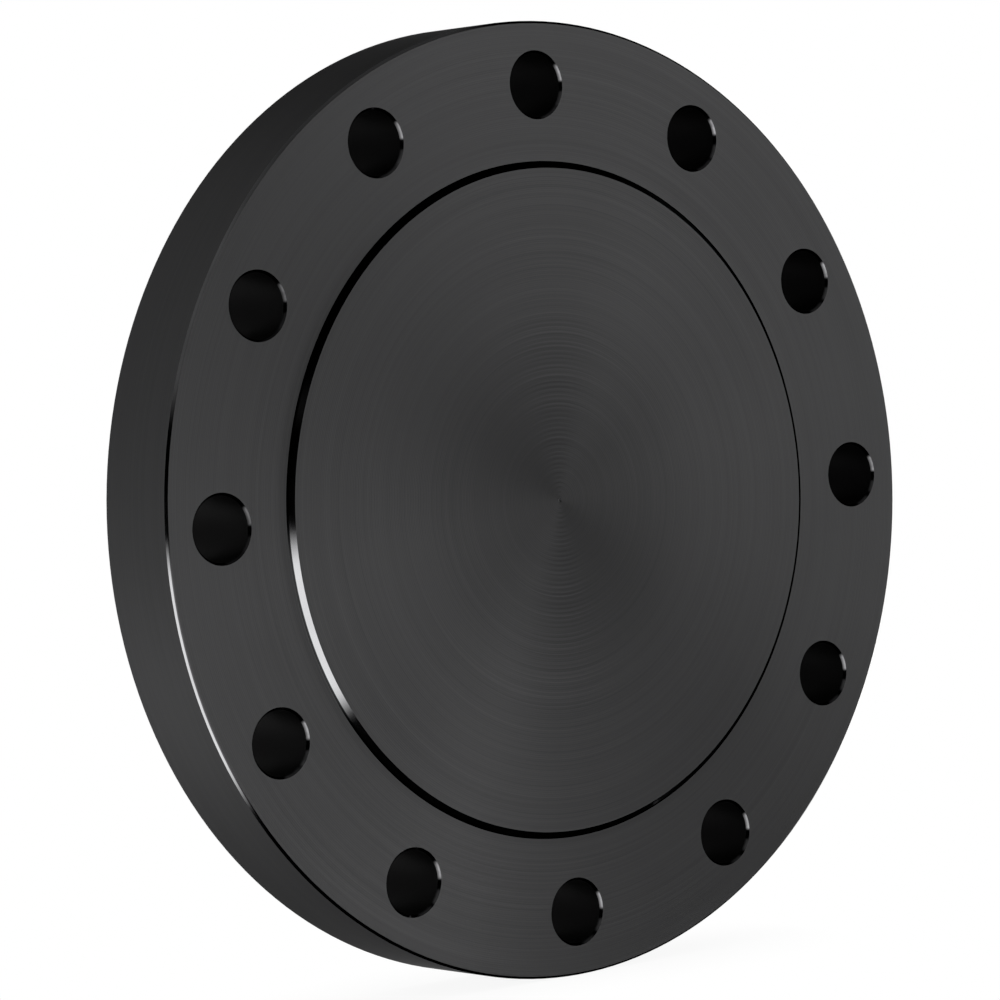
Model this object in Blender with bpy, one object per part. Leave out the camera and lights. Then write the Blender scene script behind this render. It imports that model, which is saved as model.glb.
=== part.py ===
"""Blind flange, raised face, 8 inch nominal size, class 300.

One steel disc, standing upright: its turning axis lies along Y, the raised gasket
face looks towards -Y, and +Z is up. The origin is the centre of the gasket face.
One bolt hole sits at the top, on the +Z side.
"""

import math

import bmesh
import bpy
from mathutils import Matrix, Vector

# ---------------------------------------------------------------- dimensions, metres
FLANGE_DIAMETER = 0.3810  # 15 in
TOTAL_THICKNESS = 0.0413  # 1 5/8 in, from the gasket face to the back

RAISED_FACE_BASE_DIAMETER = 0.26988  # 10 5/8 in, where the step meets the bolting ring
RAISED_FACE_TOP_DIAMETER = 0.2642  # the flat gasket face
RAISED_FACE_HEIGHT = 0.0019  # from the bolting ring to the gasket face

BOLT_CIRCLE_DIAMETER = 0.3302  # 13 in
BOLT_HOLE_DIAMETER = 0.0254  # 1 in, for 7/8 in studs
BOLT_HOLE_COUNT = 12
FIRST_HOLE_ANGLE = math.radians(90)  # from +X towards +Z

RIM_CHAMFER = 0.0010  # 45 degrees, front and back
HOLE_CHAMFER = 0.0010  # 45 degrees, front and back

# Places along the turning axis
GASKET_FACE_Y = 0.0
BOLTING_RING_Y = GASKET_FACE_Y + RAISED_FACE_HEIGHT
BACK_Y = GASKET_FACE_Y + TOTAL_THICKNESS

# ---------------------------------------------------------------- mesh settings
DISC_SEGMENTS = 192
HOLE_SEGMENTS = 40
CUTTER_OVERRUN = 0.0030  # how far a cutter runs past the bolting ring and the back
SHARP_ANGLE = math.radians(25)  # steeper edges are shaded sharp
MERGE_DISTANCE = 1e-6

TURNING_AXIS = Vector((0.0, 1.0, 0.0))

# ---------------------------------------------------------------- finish
BLACK_STEEL_COLOUR = (0.055, 0.055, 0.057, 1.0)
BLACK_STEEL_METALLIC = 0.9
BLACK_STEEL_ROUGHNESS = 0.42


def clear_scene():
    for obj in list(bpy.data.objects):
        bpy.data.objects.remove(obj, do_unlink=True)


def turned_mesh(name, profile, segments):
    """Spin a profile of (radius, y) points about the Y axis into a closed skin.

    The profile runs from a point on the axis to another point on the axis.
    """
    bm = bmesh.new()
    points = [bm.verts.new((radius, y, 0.0)) for radius, y in profile]
    edges = [bm.edges.new(pair) for pair in zip(points, points[1:])]
    bmesh.ops.spin(
        bm,
        geom=points + edges,
        cent=(0.0, 0.0, 0.0),
        axis=TURNING_AXIS,
        angle=2.0 * math.pi,
        steps=segments,
        use_duplicate=False,
    )
    # Close the seam, and join the copies of the two end points on the axis.
    bmesh.ops.remove_doubles(bm, verts=bm.verts, dist=MERGE_DISTANCE)
    bmesh.ops.dissolve_degenerate(bm, edges=bm.edges, dist=MERGE_DISTANCE)
    bmesh.ops.recalc_face_normals(bm, faces=bm.faces)
    mesh = bpy.data.meshes.new(name)
    bm.to_mesh(mesh)
    bm.free()
    mesh.shade_smooth()
    mesh.set_sharp_from_angle(angle=SHARP_ANGLE)
    return mesh


def disc_profile():
    """Half section of the disc as (radius, y), from the gasket face to the back."""
    rim = FLANGE_DIAMETER / 2
    return [
        (0.0, GASKET_FACE_Y),
        (RAISED_FACE_TOP_DIAMETER / 2, GASKET_FACE_Y),
        (RAISED_FACE_BASE_DIAMETER / 2, BOLTING_RING_Y),
        (rim - RIM_CHAMFER, BOLTING_RING_Y),
        (rim, BOLTING_RING_Y + RIM_CHAMFER),
        (rim, BACK_Y - RIM_CHAMFER),
        (rim - RIM_CHAMFER, BACK_Y),
        (0.0, BACK_Y),
    ]


def hole_profile():
    """Half section of a cutter as (radius, y): a bore that flares at both ends.

    The flares carry the 45 degree chamfers on past the faces they cut.
    """
    bore = BOLT_HOLE_DIAMETER / 2
    mouth = bore + HOLE_CHAMFER + CUTTER_OVERRUN
    return [
        (0.0, BOLTING_RING_Y - CUTTER_OVERRUN),
        (mouth, BOLTING_RING_Y - CUTTER_OVERRUN),
        (bore, BOLTING_RING_Y + HOLE_CHAMFER),
        (bore, BACK_Y - HOLE_CHAMFER),
        (mouth, BACK_Y + CUTTER_OVERRUN),
        (0.0, BACK_Y + CUTTER_OVERRUN),
    ]


def black_steel():
    """Turned steel with a thin black finish."""
    material = bpy.data.materials.new("black_steel")
    material.use_nodes = True
    shader_inputs = material.node_tree.nodes["Principled BSDF"].inputs
    shader_inputs["Base Color"].default_value = BLACK_STEEL_COLOUR
    shader_inputs["Metallic"].default_value = BLACK_STEEL_METALLIC
    shader_inputs["Roughness"].default_value = BLACK_STEEL_ROUGHNESS
    material.diffuse_color = BLACK_STEEL_COLOUR
    return material


def hole_cutters():
    """One cutter per bolt hole, clockwise from the top as seen from the gasket side."""
    cutters = bpy.data.collections.new("bolt_hole_cutters")
    bpy.context.scene.collection.children.link(cutters)
    mesh = turned_mesh("bolt_hole_cutter", hole_profile(), HOLE_SEGMENTS)
    radius = BOLT_CIRCLE_DIAMETER / 2
    for index in range(BOLT_HOLE_COUNT):
        angle = FIRST_HOLE_ANGLE - index * 2.0 * math.pi / BOLT_HOLE_COUNT
        place = Matrix.Translation((radius * math.cos(angle), 0.0, radius * math.sin(angle)))
        face_outward = Matrix.Rotation(-angle, 4, "Y")  # local +X points away from the centre
        cutter = bpy.data.objects.new(f"bolt_hole_cutter_{index:02d}", mesh)
        cutter.matrix_world = place @ face_outward
        cutter.hide_render = True
        cutter.display_type = "WIRE"
        cutters.objects.link(cutter)
    return cutters


def flange_body():
    """The whole part: a turned disc with a ring of chamfered bolt holes."""
    mesh = turned_mesh("flange_body", disc_profile(), DISC_SEGMENTS)
    mesh.materials.append(black_steel())
    body = bpy.data.objects.new("flange_body", mesh)
    bpy.context.scene.collection.objects.link(body)
    drilling = body.modifiers.new("bolt_holes", "BOOLEAN")
    drilling.operation = "DIFFERENCE"
    drilling.operand_type = "COLLECTION"
    drilling.collection = hole_cutters()
    drilling.solver = "EXACT"


clear_scene()
flange_body()
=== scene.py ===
"""Looks of the blind flange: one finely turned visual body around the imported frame, with its black turned
finish, a plain pale floor, a soft studio rig and the camera."""

import math

import bmesh
import bpy
import numpy as np
from mathutils import Matrix, Quaternion, Vector


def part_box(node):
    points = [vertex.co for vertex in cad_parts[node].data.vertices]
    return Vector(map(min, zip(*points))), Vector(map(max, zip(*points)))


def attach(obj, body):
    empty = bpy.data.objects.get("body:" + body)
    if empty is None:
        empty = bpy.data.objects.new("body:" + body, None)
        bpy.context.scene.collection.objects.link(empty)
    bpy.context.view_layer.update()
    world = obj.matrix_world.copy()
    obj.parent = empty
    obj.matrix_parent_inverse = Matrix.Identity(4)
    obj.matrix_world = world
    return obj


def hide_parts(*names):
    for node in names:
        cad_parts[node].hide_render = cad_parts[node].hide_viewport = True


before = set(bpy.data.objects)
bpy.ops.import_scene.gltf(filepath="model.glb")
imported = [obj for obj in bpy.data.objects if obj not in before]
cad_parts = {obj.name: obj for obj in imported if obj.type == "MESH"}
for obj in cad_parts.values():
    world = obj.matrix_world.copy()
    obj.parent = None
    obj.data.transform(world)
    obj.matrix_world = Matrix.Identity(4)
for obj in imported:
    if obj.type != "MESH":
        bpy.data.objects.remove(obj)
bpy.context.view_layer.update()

# ================================================================ sizes, metres
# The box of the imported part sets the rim, the thickness and the gasket plane.
box_low, box_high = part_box("flange_body")
RIM_R = (box_high[0] - box_low[0]) / 2
FRONT_Y = box_low[1]
BACK_Y = box_high[1]
FLOOR_Z = box_low[2]

FACE_R = 0.1321  # flat gasket face
STEP_R = 0.13494  # foot of its sloped edge
STEP_H = 0.0019
RING_Y = FRONT_Y + STEP_H
CHAMFER = 0.0010
BOLT_R = 0.1651
HOLE_R = 0.0127
HOLES = 12

FACE_PITCH = 0.0008  # feed of the facing tool, one groove per turn
FACE_DEPTH = 0.000022
RIM_PITCH = 0.00123
RIM_DEPTH = 0.000018
BACK_PITCH = 0.0024  # the back is only roughed flat
BACK_DEPTH = 0.000040
FEED_BEAT = 0.0019  # every few grooves one stands out
PIP_R = 0.0009  # mark left at the centre
PIP_DEPTH = 0.00030

SEGMENTS = 192
HOLE_SEGMENTS = 64

# material slots of the body
TURNED, RIM, BEVEL, CHAMFERS, BORE, BACK, MOUTH = range(7)


# ================================================================ mesh: rings of a turned profile
def grooved(start, end, pitch, depth, level, axis):
    """Crest and root rings of a turned band from start to end, without its last crest.

    axis "r": the band lies across a face, level is its y and depth sinks towards +y.
    axis "y": the band lies along the rim, level is its radius and depth sinks inwards.
    """
    count = max(2, round(abs(end - start) / pitch))
    step = (end - start) / count
    rings = []
    for i in range(count):
        crest = start + i * step
        root = start + (i + 0.5) * step
        if axis == "r":
            rings += [(crest, level, False), (root, level + depth, True)]
        else:
            rings += [(level, crest, False), (level - depth, root, True)]
    return rings


def segments_at(radius):
    """Fewer segments near the centre, where the circles are short."""
    if radius < 0.0085:
        return SEGMENTS // 8
    if radius < 0.032:
        return SEGMENTS // 4
    if radius < 0.1300:
        return SEGMENTS // 2
    return SEGMENTS


def body_rings():
    """(radius, y, is groove root, slot of the band that follows) from the front centre to the back centre."""
    rings = []

    def add(points, slot):
        rings.extend((r, y, root, slot) for r, y, root in points)

    # a shallow centre mark, then the serrated gasket face
    add([(PIP_R / 2, FRONT_Y + PIP_DEPTH, False)], TURNED)
    add(grooved(PIP_R, FACE_R, FACE_PITCH, FACE_DEPTH, FRONT_Y, "r"), TURNED)
    add([(FACE_R, FRONT_Y, False)], BEVEL)
    add(grooved(STEP_R, RIM_R - CHAMFER, FACE_PITCH, FACE_DEPTH, RING_Y, "r"), TURNED)
    add([(RIM_R - CHAMFER, RING_Y, False)], CHAMFERS)
    add(
        grooved(
            RING_Y + CHAMFER, BACK_Y - CHAMFER, RIM_PITCH, RIM_DEPTH, RIM_R, "y"
        ),
        RIM,
    )
    add([(RIM_R, BACK_Y - CHAMFER, False)], CHAMFERS)
    add(grooved(RIM_R - CHAMFER, BACK_PITCH, BACK_PITCH, -BACK_DEPTH, BACK_Y, "r"), BACK)
    add([(BACK_PITCH, BACK_Y, False)], BACK)
    return rings


def turned_body(name):
    """The closed body as one mesh, with bands between rings and a fan at each centre."""
    rings = body_rings()
    verts, starts, counts = [], [], []
    for r, y, _, _ in rings:
        n = segments_at(r)
        starts.append(len(verts))
        counts.append(n)
        a = np.arange(n) * (2 * math.pi / n)
        verts.extend(zip(r * np.cos(a), np.full(n, y), r * np.sin(a)))
    front = len(verts)
    verts.append((0.0, FRONT_Y + 0.00030, 0.0))
    back = len(verts)
    verts.append((0.0, BACK_Y, 0.0))
    faces, slots = [], []
    for k in range(len(rings) - 1):
        a0, na, b0, nb, slot = starts[k], counts[k], starts[k + 1], counts[k + 1], rings[k][3]
        if na == nb:
            for i in range(na):
                j = (i + 1) % na
                faces.append((a0 + i, b0 + i, b0 + j, a0 + j))
                slots.append(slot)
        elif nb == 2 * na:
            for i in range(na):
                j = (i + 1) % na
                m0, m1, m2 = b0 + 2 * i, b0 + 2 * i + 1, b0 + (2 * i + 2) % nb
                faces += [(a0 + i, m0, m1), (a0 + i, m1, a0 + j), (a0 + j, m1, m2)]
                slots += [slot] * 3
        else:
            for i in range(nb):
                j = (i + 1) % nb
                m0, m1, m2 = a0 + 2 * i, a0 + 2 * i + 1, a0 + (2 * i + 2) % na
                faces += [(b0 + i, m1, m0), (b0 + i, b0 + j, m1), (b0 + j, m2, m1)]
                slots += [slot] * 3
    for i in range(counts[0]):
        faces.append((front, starts[0] + i, starts[0] + (i + 1) % counts[0]))
        slots.append(TURNED)
    for i in range(counts[-1]):
        faces.append((back, starts[-1] + (i + 1) % counts[-1], starts[-1] + i))
        slots.append(BACK)
    mesh = bpy.data.meshes.new(name)
    mesh.from_pydata([tuple(v) for v in verts], [], faces)
    mesh.polygons.foreach_set("material_index", slots)
    return mesh


def hole_cutters():
    """The drills with their countersinks at both ends, all in one helper mesh."""
    over = 0.003
    mouth = HOLE_R + CHAMFER + over
    profile = [
        (mouth, RING_Y - over, MOUTH),
        (HOLE_R, RING_Y + CHAMFER, BORE),
        (HOLE_R, BACK_Y - CHAMFER, MOUTH),
        (mouth, BACK_Y + over, BORE),
    ]
    verts, faces, slots = [], [], []
    for h in range(HOLES):
        turn = math.radians(90) + h * 2 * math.pi / HOLES
        cx, cz = BOLT_R * math.cos(turn), BOLT_R * math.sin(turn)
        base = len(verts)
        for r, y, _ in profile:
            for i in range(HOLE_SEGMENTS):
                a = 2 * math.pi * i / HOLE_SEGMENTS
                verts.append((cx + r * math.cos(a), y, cz + r * math.sin(a)))
        for k in range(3):
            for i in range(HOLE_SEGMENTS):
                j = (i + 1) % HOLE_SEGMENTS
                p, q = base + k * HOLE_SEGMENTS, base + (k + 1) * HOLE_SEGMENTS
                faces.append((p + i, q + i, q + j, p + j))
                slots.append(profile[k][2])
        faces.append(tuple(base + i for i in range(HOLE_SEGMENTS)))
        faces.append(tuple(base + 3 * HOLE_SEGMENTS + i for i in reversed(range(HOLE_SEGMENTS))))
        slots += [BORE, BORE]
    mesh = bpy.data.meshes.new("drills")
    mesh.from_pydata(verts, [], faces)
    mesh.polygons.foreach_set("material_index", slots)
    bm = bmesh.new()
    bm.from_mesh(mesh)
    bmesh.ops.recalc_face_normals(bm, faces=bm.faces)
    bm.to_mesh(mesh)
    bm.free()
    return mesh


def analytic_normals(mesh):
    """Exact corner normals of the turned and drilled surfaces, so that no facet shows."""

    def read(items, name, width=1, kind=float):
        values = np.empty(len(items) * width, kind)
        items.foreach_get(name, values)
        return values.reshape(-1, width) if width > 1 else values

    point = read(mesh.vertices, "co", 3)[read(mesh.loops, "vertex_index", 1, np.int32)]
    size = read(mesh.polygons, "loop_total", 1, np.int32)
    slot = read(mesh.polygons, "material_index", 1, np.int32)
    centre = read(mesh.polygons, "center", 3)
    drawn = np.repeat(read(mesh.polygons, "normal", 3), size, axis=0)

    # a face turns about the disc's own axis or about the nearest hole's
    sector = 2 * math.pi / HOLES
    near = np.round((np.arctan2(centre[:, 2], centre[:, 0]) - math.pi / 2) / sector) * sector
    hole_x, hole_z = -BOLT_R * np.sin(near), BOLT_R * np.cos(near)
    drilled = (slot == BORE) | (slot == MOUTH)
    slot, drilled = np.repeat(slot, size), np.repeat(drilled, size)
    centre_r = np.repeat(np.hypot(centre[:, 0], centre[:, 2]), size)
    centre_y = np.repeat(centre[:, 1], size)
    dx = point[:, 0] - np.where(drilled, np.repeat(hole_x, size), 0.0)
    dz = point[:, 2] - np.where(drilled, np.repeat(hole_z, size), 0.0)
    reach = np.maximum(np.hypot(dx, dz), 1e-9)
    out_x, out_z = dx / reach, dz / reach

    def flank(at, own, start, end, pitch, depth):
        """Slope of a groove's flank; it eases to almost flat at the rounded root."""
        count = max(2, round(abs(end - start) / pitch))
        step = abs(end - start) / count
        phase = np.mod(np.abs(at - start) / step, 1.0)
        own_phase = np.mod(np.abs(own - start) / step + 0.25, 1.0) - 0.25
        sunk = np.clip(1.0 - np.abs(2.0 * own_phase - 1.0), 0.0, 1.0)
        return np.where(phase < 0.5, 1.0, -1.0) * (2.0 * depth / step) * (1.0 - 0.85 * sunk)

    own_r = np.hypot(point[:, 0], point[:, 2])
    lean = np.zeros(len(point))  # outwards part of the normal
    fore = np.zeros(len(point))  # part of the normal along y
    # faces with grooves
    inner = centre_r < (FACE_R + STEP_R) / 2
    slope = np.where(
        inner,
        flank(centre_r, own_r, PIP_R, FACE_R, FACE_PITCH, FACE_DEPTH),
        flank(centre_r, own_r, STEP_R, RIM_R - CHAMFER, FACE_PITCH, FACE_DEPTH),
    )
    m = slot == TURNED
    lean[m], fore[m] = slope[m], -1.0
    m = slot == BACK
    slope = flank(centre_r, own_r, RIM_R - CHAMFER, BACK_PITCH, BACK_PITCH, BACK_DEPTH)
    lean[m], fore[m] = -slope[m], 1.0
    m = slot == RIM
    slope = flank(centre_y, point[:, 1], RING_Y + CHAMFER, BACK_Y - CHAMFER, RIM_PITCH, RIM_DEPTH)
    lean[m], fore[m] = 1.0, slope[m]
    # the sloped edge of the gasket face
    m = slot == BEVEL
    lean[m], fore[m] = STEP_H, FACE_R - STEP_R
    # chamfers, outwards round the rim and inwards round the holes, at the front and at the back
    m = (slot == CHAMFERS) | (slot == MOUTH)
    lean[m] = np.where(drilled[m], -1.0, 1.0)
    fore[m] = np.where(centre_y[m] < (RING_Y + BACK_Y) / 2, -1.0, 1.0)
    m = slot == BORE
    lean[m], fore[m] = -1.0, 0.0
    normals = np.stack([out_x * lean, fore, out_z * lean], 1)
    normals /= np.linalg.norm(normals, axis=1, keepdims=True)
    pip = (slot == TURNED) & (centre_r < PIP_R) | (slot == BACK) & (centre_r < BACK_PITCH)
    normals[pip] = drawn[pip]
    mesh.shade_smooth()
    mesh.normals_split_custom_set(normals)


# ================================================================ materials
class Tree:
    """Short hands for building a node tree."""

    def __init__(self, tree):
        self.tree = tree
        self.nodes, self.links = tree.nodes, tree.links

    def node(self, kind, **settings):
        n = self.nodes.new(kind)
        for key, value in settings.items():
            setattr(n, key, value)
        return n

    def put(self, socket, value):
        if isinstance(value, bpy.types.NodeSocket):
            self.links.new(value, socket)
        else:
            socket.default_value = value

    def math(self, op, a, b=None, c=None, clamp=False):
        n = self.node("ShaderNodeMath", operation=op, use_clamp=clamp)
        for i, v in enumerate((a, b, c)):
            if v is not None:
                self.put(n.inputs[i], v)
        return n.outputs[0]

    def vec(self, op, a, b=None):
        n = self.node("ShaderNodeVectorMath", operation=op)
        self.put(n.inputs[0], a)
        if b is not None:
            self.put(n.inputs[1], b)
        return n.outputs["Value" if op in ("DOT_PRODUCT", "LENGTH") else "Vector"]

    def combine(self, x, y, z):
        n = self.node("ShaderNodeCombineXYZ")
        for i, v in enumerate((x, y, z)):
            self.put(n.inputs[i], v)
        return n.outputs[0]

    def separate(self, v):
        n = self.node("ShaderNodeSeparateXYZ")
        self.put(n.inputs[0], v)
        return n.outputs

    def span(self, value, a, b, lo, hi, smooth=True):
        n = self.node(
            "ShaderNodeMapRange", interpolation_type="SMOOTHSTEP" if smooth else "LINEAR"
        )
        for i, v in enumerate((value, a, b, lo, hi)):
            self.put(n.inputs[i], v)
        return n.outputs[0]

    def noise(self, vector, scale, detail=2.0, rough=0.5):
        n = self.node("ShaderNodeTexNoise")
        self.put(n.inputs["Vector"], vector)
        n.inputs["Scale"].default_value = scale
        n.inputs["Detail"].default_value = detail
        n.inputs["Roughness"].default_value = rough
        return n.outputs["Fac"]

    def curve(self, value, points):
        """A smooth curve through (x, y) points, x from 0 to 1."""
        n = self.node("ShaderNodeFloatCurve")
        c = n.mapping.curves[0]
        c.points[0].location = points[0]
        c.points[-1].location = points[-1]
        for p in points[1:-1]:
            c.points.new(*p)
        n.mapping.update()
        self.put(n.inputs["Value"], value)
        return n.outputs[0]

    def grey(self, value, tint=(1.0, 1.0, 1.0)):
        n = self.node("ShaderNodeCombineColor")
        for i in range(3):
            self.put(n.inputs[i], self.math("MULTIPLY", value, tint[i]))
        return n.outputs[0]


BLACK_TINT = (1.0, 1.0, 1.02)


def new_material(name):
    m = bpy.data.materials.new(name)
    m.use_nodes = True
    t = Tree(m.node_tree)
    shader = t.nodes["Principled BSDF"]
    shader.inputs["Metallic"].default_value = 1.0
    return m, t, shader


def disc_coordinates(t):
    """Object position, its parts, and the distance from the turning axis."""
    p = t.node("ShaderNodeTexCoord").outputs["Object"]
    x, y, z = t.separate(p)
    flat = t.combine(x, 0.0, z)
    return p, x, y, z, flat, t.vec("LENGTH", flat)


def turned_tone(t, along, x, z, fine, mid, broad, weight=1.0):
    """A factor around 1: feed marks of three widths across the coordinate, drawn out along the turn."""

    def rings(scale, detail):
        return t.noise(
            t.combine(
                t.math("MULTIPLY", along, scale),
                t.math("MULTIPLY", x, 5.0),
                t.math("MULTIPLY", z, 5.0),
            ),
            1.0,
            detail,
            0.55,
        )

    marks = rings(1500.0, 2.0)
    total = t.math("MULTIPLY", t.math("SUBTRACT", marks, 0.5), fine)
    for scale, share in ((450.0, mid), (110.0, broad)):
        total = t.math("MULTIPLY_ADD", t.math("SUBTRACT", rings(scale, 2.0), 0.5), share, total)
    return t.math("MULTIPLY_ADD", total, weight, 1.0), marks


def turned_material(name, base, rough, aniso, pass_line=True, widths=(0.30, 0.15, 0.06)):
    """Facing cuts: rings about the axis, grain radial to them, a little uneven."""
    m, t, s = new_material(name)
    p, x, y, z, flat, r = disc_coordinates(t)
    # the marks show most above and below the axis, where the light crosses them
    steep = t.math("POWER", t.math("ABSOLUTE", t.math("DIVIDE", z, r)), 14.0)
    weight = t.math("MULTIPLY_ADD", steep, t.span(r, 0.05, 0.10, 1.1, 0.3), 1.0)
    tone, marks = turned_tone(t, r, x, z, *widths, weight=weight)
    feed = t.math("SINE", t.math("MULTIPLY", r, 2 * math.pi / FEED_BEAT))
    feed = t.math("MULTIPLY", feed, t.math("MULTIPLY", t.math("POWER", steep, 1.7), t.span(r, 0.045, 0.095, 0.120, 0.025)))
    tone = t.math("ADD", tone, t.math("MULTIPLY", feed, t.span(marks, 0.3, 0.7, 0.5, 1.5, False)))
    cloud = t.noise(p, 14.0, 3.0, 0.55)
    tone = t.math("MULTIPLY", tone, t.span(cloud, 0.25, 0.75, 0.975, 1.025, False))
    # painted shade: the turned face is darkened towards the centre, where its sheen fades
    painted_centre_shade = t.curve(
        t.math("MULTIPLY", r, 10.0),
        [(0.0, 0.68), (0.15, 0.70), (0.31, 0.745), (0.5, 0.825), (0.7, 0.925), (0.9, 0.99), (1.0, 1.0)],
    )
    tone = t.math("MULTIPLY", tone, painted_centre_shade)
    if pass_line:
        # where one pass of the tool ended and the next one began
        off = t.math("ABSOLUTE", t.math("SUBTRACT", r, 0.0572))
        tone = t.math("MULTIPLY", tone, t.span(off, 0.0001, 0.0007, 0.95, 1.0))
    # the ring is left out of the mirror of the sloped edge beside it, so that the edge reads as a clean dark line
    mirrored = t.node("ShaderNodeLightPath").outputs["Is Glossy Ray"]
    direct = t.math("SUBTRACT", 1.0, mirrored)
    tone = t.math("MULTIPLY", tone, t.math("MULTIPLY_ADD", direct, 0.92, 0.08))
    t.put(s.inputs["Specular Tint"], t.grey(direct))
    t.put(s.inputs["Base Color"], t.grey(t.math("MULTIPLY", tone, base), BLACK_TINT))
    t.put(
        s.inputs["Roughness"],
        t.math(
            "ADD",
            rough,
            t.math(
                "ADD",
                t.span(marks, 0.25, 0.75, -0.02, 0.02, False),
                t.span(cloud, 0.25, 0.75, -0.012, 0.012, False),
            ),
        ),
    )
    s.inputs["Anisotropic"].default_value = aniso
    t.put(s.inputs["Tangent"], t.vec("NORMALIZE", flat))
    bump = t.node("ShaderNodeBump")
    bump.inputs["Strength"].default_value = 0.35
    bump.inputs["Distance"].default_value = 0.00004
    t.put(bump.inputs["Height"], marks)
    t.put(s.inputs["Normal"], bump.outputs[0])
    return m


def rim_material():
    """The turned rim: rings round it, grain along the axis."""
    m, t, s = new_material("turned_rim")
    p, x, y, z, flat, r = disc_coordinates(t)
    tone, marks = turned_tone(t, y, x, z, 0.30, 0.22, 0.06)
    cloud = t.noise(p, 18.0, 3.0, 0.55)
    tone = t.math("MULTIPLY", tone, t.span(cloud, 0.25, 0.75, 0.97, 1.03, False))
    t.put(s.inputs["Base Color"], t.grey(t.math("MULTIPLY", tone, 0.085), BLACK_TINT))
    s.inputs["Specular Tint"].default_value = (0.55, 0.55, 0.55, 1.0)
    t.put(s.inputs["Roughness"], t.math("ADD", 0.495, t.span(marks, 0.25, 0.75, -0.02, 0.02, False)))
    s.inputs["Anisotropic"].default_value = 0.694
    t.put(s.inputs["Tangent"], t.combine(0.0, 1.0, 0.0))
    bump = t.node("ShaderNodeBump")
    bump.inputs["Strength"].default_value = 0.35
    bump.inputs["Distance"].default_value = 0.00004
    t.put(bump.inputs["Height"], marks)
    t.put(s.inputs["Normal"], bump.outputs[0])
    return m


def edge_material(name, bright):
    """A fine finishing cut, almost a mirror; bright gives its share of full brightness from the position, painting
    shade across the edge.
    """
    m, t, s = new_material(name)
    p, x, y, z, flat, r = disc_coordinates(t)
    cloud = t.noise(p, 60.0, 3.0, 0.5)
    tone = t.math("MULTIPLY", t.span(cloud, 0.3, 0.7, 0.20, 0.225, False), bright(t, x, y, z))
    t.put(s.inputs["Base Color"], t.grey(tone, BLACK_TINT))
    t.put(s.inputs["Roughness"], t.span(cloud, 0.3, 0.7, 0.05, 0.09, False))
    s.inputs["Specular Tint"].default_value = (0.08, 0.08, 0.08, 1.0)
    return m


def bevel_foot_shade(t, x, y, z):
    """Painted shade at the foot of the slope: a dark line in the corner where it meets the ring."""
    depth = t.math("DIVIDE", t.math("SUBTRACT", y, FRONT_Y), STEP_H)
    return t.span(depth, 0.68, 0.78, 1.0, 0.06)


def chamfer_painted_shade(t, x, y, z):
    """Painted shade on the face side of a chamfer, deeper in its lower half, so that only a narrow glint is left.
    """
    front = t.math("SUBTRACT", y, RING_Y)
    behind = t.math("SUBTRACT", BACK_Y, y)
    depth = t.math("DIVIDE", t.math("MINIMUM", front, behind), CHAMFER)
    return t.span(depth, 0.20, 0.50, t.span(z, -0.012, 0.030, 0.15, 0.85), 1.0)


def lip_wear_and_shade(t, x, y, z):
    """A hole's chamfer, brightest at its lip, with painted shade further in that narrows its glint, and uneven
    wear along the lip.
    """
    front = t.math("SUBTRACT", y, RING_Y)
    behind = t.math("SUBTRACT", BACK_Y, y)
    depth = t.math("DIVIDE", t.math("MINIMUM", front, behind), CHAMFER)
    worn = t.noise(t.node("ShaderNodeTexCoord").outputs["Object"], 170.0, 3.0, 0.6)
    # painted shade: the lips of the holes on the left side are darker, which dims their glints
    turn = math.radians(165)
    side = t.math("MULTIPLY_ADD", x, math.cos(turn), t.math("MULTIPLY", z, math.sin(turn)))
    wear_and_side_shade = t.math("MULTIPLY", t.span(worn, 0.35, 0.65, 0.62, 1.12, False), t.span(side, 0.118, 0.145, 1.0, 0.45))
    return t.math("MULTIPLY", t.span(depth, 0.28, 0.90, 0.52, 0.17), wear_and_side_shade)


def bore_material():
    """The drilled walls: black scale with faint feed rings."""
    m, t, s = new_material("drilled_bore")
    p, x, y, z, flat, r = disc_coordinates(t)
    rings = t.noise(
        t.combine(t.math("MULTIPLY", y, 1500.0), t.math("MULTIPLY", x, 25.0), t.math("MULTIPLY", z, 25.0)),
        1.0,
        2.0,
        0.5,
    )
    s.inputs["Metallic"].default_value = 0.0
    # painted shade: the bores are darker and duller towards the upper holes, lighter towards the lower ones
    upper_bore_shade = t.span(z, -0.17, 0.17, 1.2, 0.58, False)
    t.put(s.inputs["Specular IOR Level"], t.math("MULTIPLY", upper_bore_shade, 0.014))
    scale = t.math("MULTIPLY", t.span(rings, 0.25, 0.75, 0.0003, 0.0012, False), upper_bore_shade)
    t.put(s.inputs["Base Color"], t.grey(scale, BLACK_TINT))
    t.put(s.inputs["Roughness"], t.span(rings, 0.25, 0.75, 0.42, 0.56, False))
    bump = t.node("ShaderNodeBump")
    bump.inputs["Strength"].default_value = 0.5
    bump.inputs["Distance"].default_value = 0.00005
    t.put(bump.inputs["Height"], rings)
    t.put(s.inputs["Normal"], bump.outputs[0])
    return m


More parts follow.
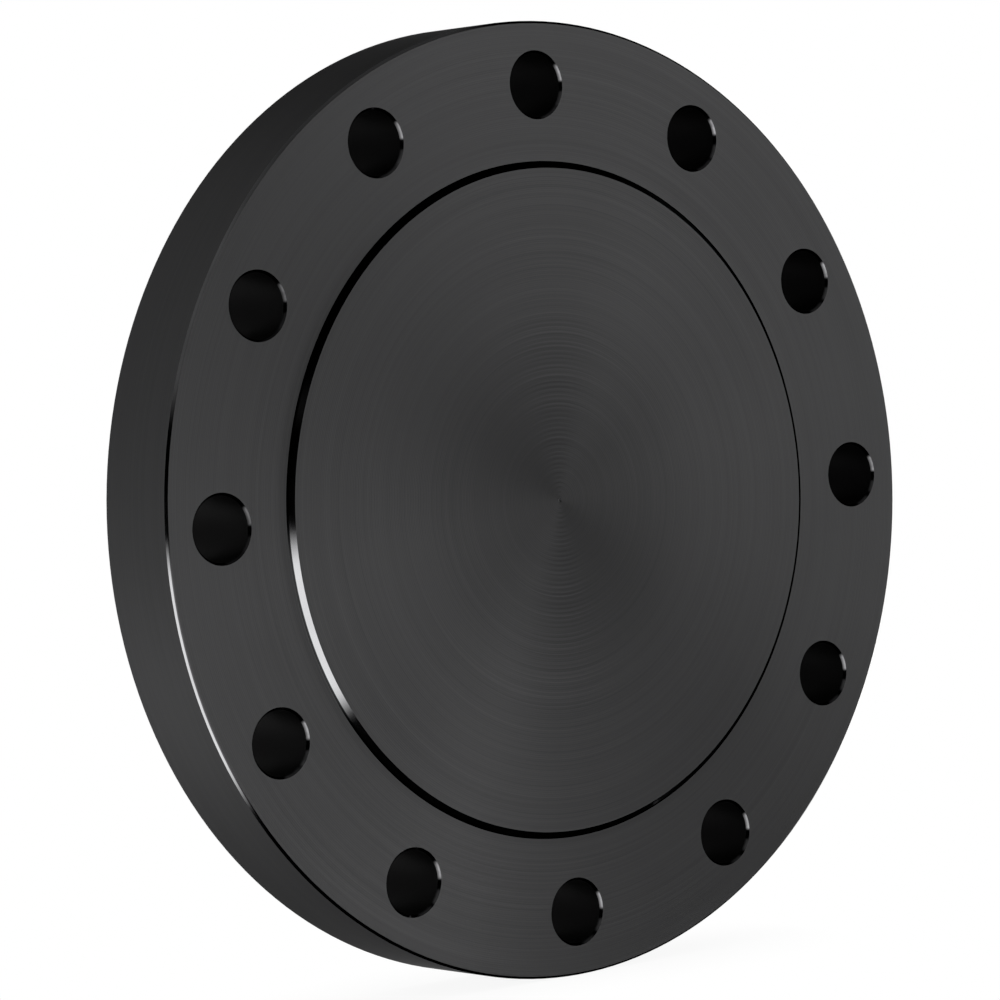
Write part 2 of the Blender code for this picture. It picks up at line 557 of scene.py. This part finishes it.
# ================================================================ the flange
def build_flange():
    mesh = turned_body("flange")
    for m in (
        turned_material("turned_face", 0.0467, 0.398, 0.667),
        rim_material(),
        edge_material("bright_black_slope", bevel_foot_shade),
        edge_material("bright_black_chamfer", chamfer_painted_shade),
        bore_material(),
        turned_material("turned_back", 0.0455, 0.42, 0.62, False, (0.34, 0.30, 0.12)),
        edge_material("bright_black_lip", lip_wear_and_shade),
    ):
        mesh.materials.append(m)
    body = bpy.data.objects.new("flange", mesh)
    bpy.context.scene.collection.objects.link(body)
    tools = hole_cutters()
    for m in mesh.materials:
        tools.materials.append(m)
    drills = bpy.data.objects.new("drills", tools)
    bpy.context.scene.collection.objects.link(drills)
    cut = body.modifiers.new("drilling", "BOOLEAN")
    cut.operation, cut.object, cut.solver = "DIFFERENCE", drills, "MANIFOLD"
    graph = bpy.context.evaluated_depsgraph_get()
    made = bpy.data.meshes.new_from_object(body.evaluated_get(graph))
    body.modifiers.clear()
    body.data = made
    made.name = "flange"
    bpy.data.objects.remove(drills, do_unlink=True)
    analytic_normals(made)
    return body


flange = build_flange()
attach(flange, "root")
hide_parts("flange_body")


# ================================================================ floor
def build_floor():
    """A plain pale floor under the rim, with a soft shade where the part stands."""
    mesh = bpy.data.meshes.new("floor")
    half = 60.0
    mesh.from_pydata(
        [(-half, -half, FLOOR_Z), (half, -half, FLOOR_Z), (half, half, FLOOR_Z), (-half, half, FLOOR_Z)],
        [],
        [(0, 1, 2, 3)],
    )
    floor = bpy.data.objects.new("floor", mesh)
    bpy.context.scene.collection.objects.link(floor)
    m = bpy.data.materials.new("pale_floor")
    m.use_nodes = True
    t = Tree(m.node_tree)
    t.nodes.remove(t.nodes["Principled BSDF"])
    shade = t.node("ShaderNodeAmbientOcclusion", samples=16)
    shade.inputs["Distance"].default_value = 0.045
    glow = t.node("ShaderNodeEmission")
    t.put(glow.inputs["Color"], t.grey(t.span(shade.outputs["AO"], 0.0, 1.0, 0.92, 1.0, False)))
    t.links.new(glow.outputs[0], t.nodes["Material Output"].inputs["Surface"])
    mesh.materials.append(m)
    # the rig lights the part from all round, so the floor neither blocks nor mirrors it
    floor.visible_shadow = False
    floor.visible_glossy = False
    floor.visible_diffuse = False
    floor.visible_transmission = False


build_floor()

# ================================================================ light: a soft studio rig far around the part
# azimuth and elevation in degrees (azimuth 0 is the gasket side, positive towards +X), angular size, strength
SOFT_LIGHTS = (
    (37.8, 16.0, 0.120, 5.77),
    (28.5, -36.3, 0.085, 22.5),
    (75.8, -8.3, 0.125, 6.20),
    (11.4, -9.3, 0.172, 3.82),
    (-162.0, -22.0, 0.132, 1.38),
    (133.0, -9.0, 0.150, 3.40),
    (-179.9, -2.0, 0.290, 4.61),
    (75.1, 13.9, 0.085, 7.90),
    (-171.0, 35.0, 0.230, 0.38),
    (-171.0, -38.0, 0.180, 0.42),
)
# panels between two azimuths and two elevations: (from, to) of each soft edge, and the strength
CARD = ((-64.0, -56.0), (-20.5, -16.0), (-6.5, 7.0), (-11.5, -3.0), 3.25)  # the reflector card, low on the left
CARD_FOOT = (-34.0, 0.30)  # height of its lower edge straight ahead, and how fast it climbs to the right
WALL = ((-100.0, -80.0), (-36.0, -25.0), (15.0, 24.0), (48.0, 68.0), 0.22)
CEILING = (55.0, 63.0, 0.105)


def direction(azimuth, elevation):
    a, e = math.radians(azimuth), math.radians(elevation)
    return (math.sin(a) * math.cos(e), -math.cos(a) * math.cos(e), math.sin(e))


def build_world():
    world = bpy.data.worlds.new("studio")
    bpy.context.scene.world = world
    world.use_nodes = True
    t = Tree(world.node_tree)
    for n in list(t.nodes):
        t.nodes.remove(n)
    d = t.node("ShaderNodeTexCoord").outputs["Generated"]
    soft = 0.0
    for azimuth, elevation, size, strength in SOFT_LIGHTS:
        aim = t.vec("DOT_PRODUCT", d, direction(azimuth, elevation))
        fall = t.math("EXPONENT", t.math("MULTIPLY", t.math("SUBTRACT", aim, 1.0), 1.0 / size**2))
        soft = t.math("MULTIPLY_ADD", fall, strength, soft)
    x, y, z = t.separate(d)
    azimuth = t.math("MULTIPLY", t.math("ARCTAN2", x, t.math("MULTIPLY", y, -1.0)), math.degrees(1))
    elevation = t.math("MULTIPLY", t.math("ARCSINE", z), math.degrees(1))

    def panel(left, right, low, high):
        inside = t.span(azimuth, *left, 0.0, 1.0)
        inside = t.math("MULTIPLY", inside, t.span(azimuth, *right, 1.0, 0.0))
        inside = t.math("MULTIPLY", inside, t.span(elevation, *high, 1.0, 0.0))
        return t.math("MULTIPLY", inside, low)

    foot = t.math("MULTIPLY_ADD", azimuth, CARD_FOOT[1], CARD_FOOT[0])
    above = t.span(t.math("SUBTRACT", elevation, foot), *CARD[2], 0.0, 1.0)
    card = panel(CARD[0], CARD[1], above, CARD[3])
    wall = panel(WALL[0], WALL[1], t.span(elevation, *WALL[2], 0.0, 1.0), WALL[3])
    light = t.math("MULTIPLY", soft, t.math("SUBTRACT", 1.0, card))
    light = t.math("MULTIPLY_ADD", card, CARD[4], light)
    light = t.math("MULTIPLY_ADD", wall, WALL[4], light)
    light = t.math("MULTIPLY_ADD", t.span(elevation, *CEILING[:2], 0.0, 1.0), CEILING[2], light)
    rig = t.node("ShaderNodeBackground")
    t.put(rig.inputs["Color"], t.grey(light))
    backdrop = t.node("ShaderNodeBackground")
    backdrop.inputs["Color"].default_value = (1.0, 1.0, 1.0, 1.0)
    mix = t.node("ShaderNodeMixShader")
    t.put(mix.inputs[0], t.node("ShaderNodeLightPath").outputs["Is Camera Ray"])
    t.put(mix.inputs[1], rig.outputs[0])
    t.put(mix.inputs[2], backdrop.outputs[0])
    out = t.node("ShaderNodeOutputWorld")
    t.put(out.inputs["Surface"], mix.outputs[0])
    world.cycles.sampling_method = "MANUAL"
    world.cycles.sample_map_resolution = 2048


build_world()

scene = bpy.context.scene
scene.view_settings.view_transform = "Standard"
scene.view_settings.look = "None"
scene.view_settings.exposure = 0.0
scene.view_settings.gamma = 1.0

# ================================================================ camera
CAMERA_AZIMUTH = -39.892
CAMERA_ELEVATION = 2.4614
CAMERA_ROLL = -2.8863
CAMERA_DISTANCE = 1.65259
CAMERA_AIM = Vector((-0.018264, 0.015334, 0.001203))
LENS = 149.436


def build_camera():
    data = bpy.data.cameras.new("camera")
    data.lens = LENS
    data.sensor_width = 36.0
    data.clip_start = 0.01
    data.clip_end = 500.0
    camera = bpy.data.objects.new("camera", data)
    bpy.context.scene.collection.objects.link(camera)
    back = Vector(direction(CAMERA_AZIMUTH, CAMERA_ELEVATION))
    camera.location = CAMERA_AIM + back * CAMERA_DISTANCE
    camera.rotation_mode = "QUATERNION"
    camera.rotation_quaternion = (-back).to_track_quat("-Z", "Y") @ Quaternion(
        (0, 0, 1), math.radians(CAMERA_ROLL)
    )
    bpy.context.scene.camera = camera


build_camera()

print("flange triangles", sum(len(p.vertices) - 2 for p in flange.data.polygons))
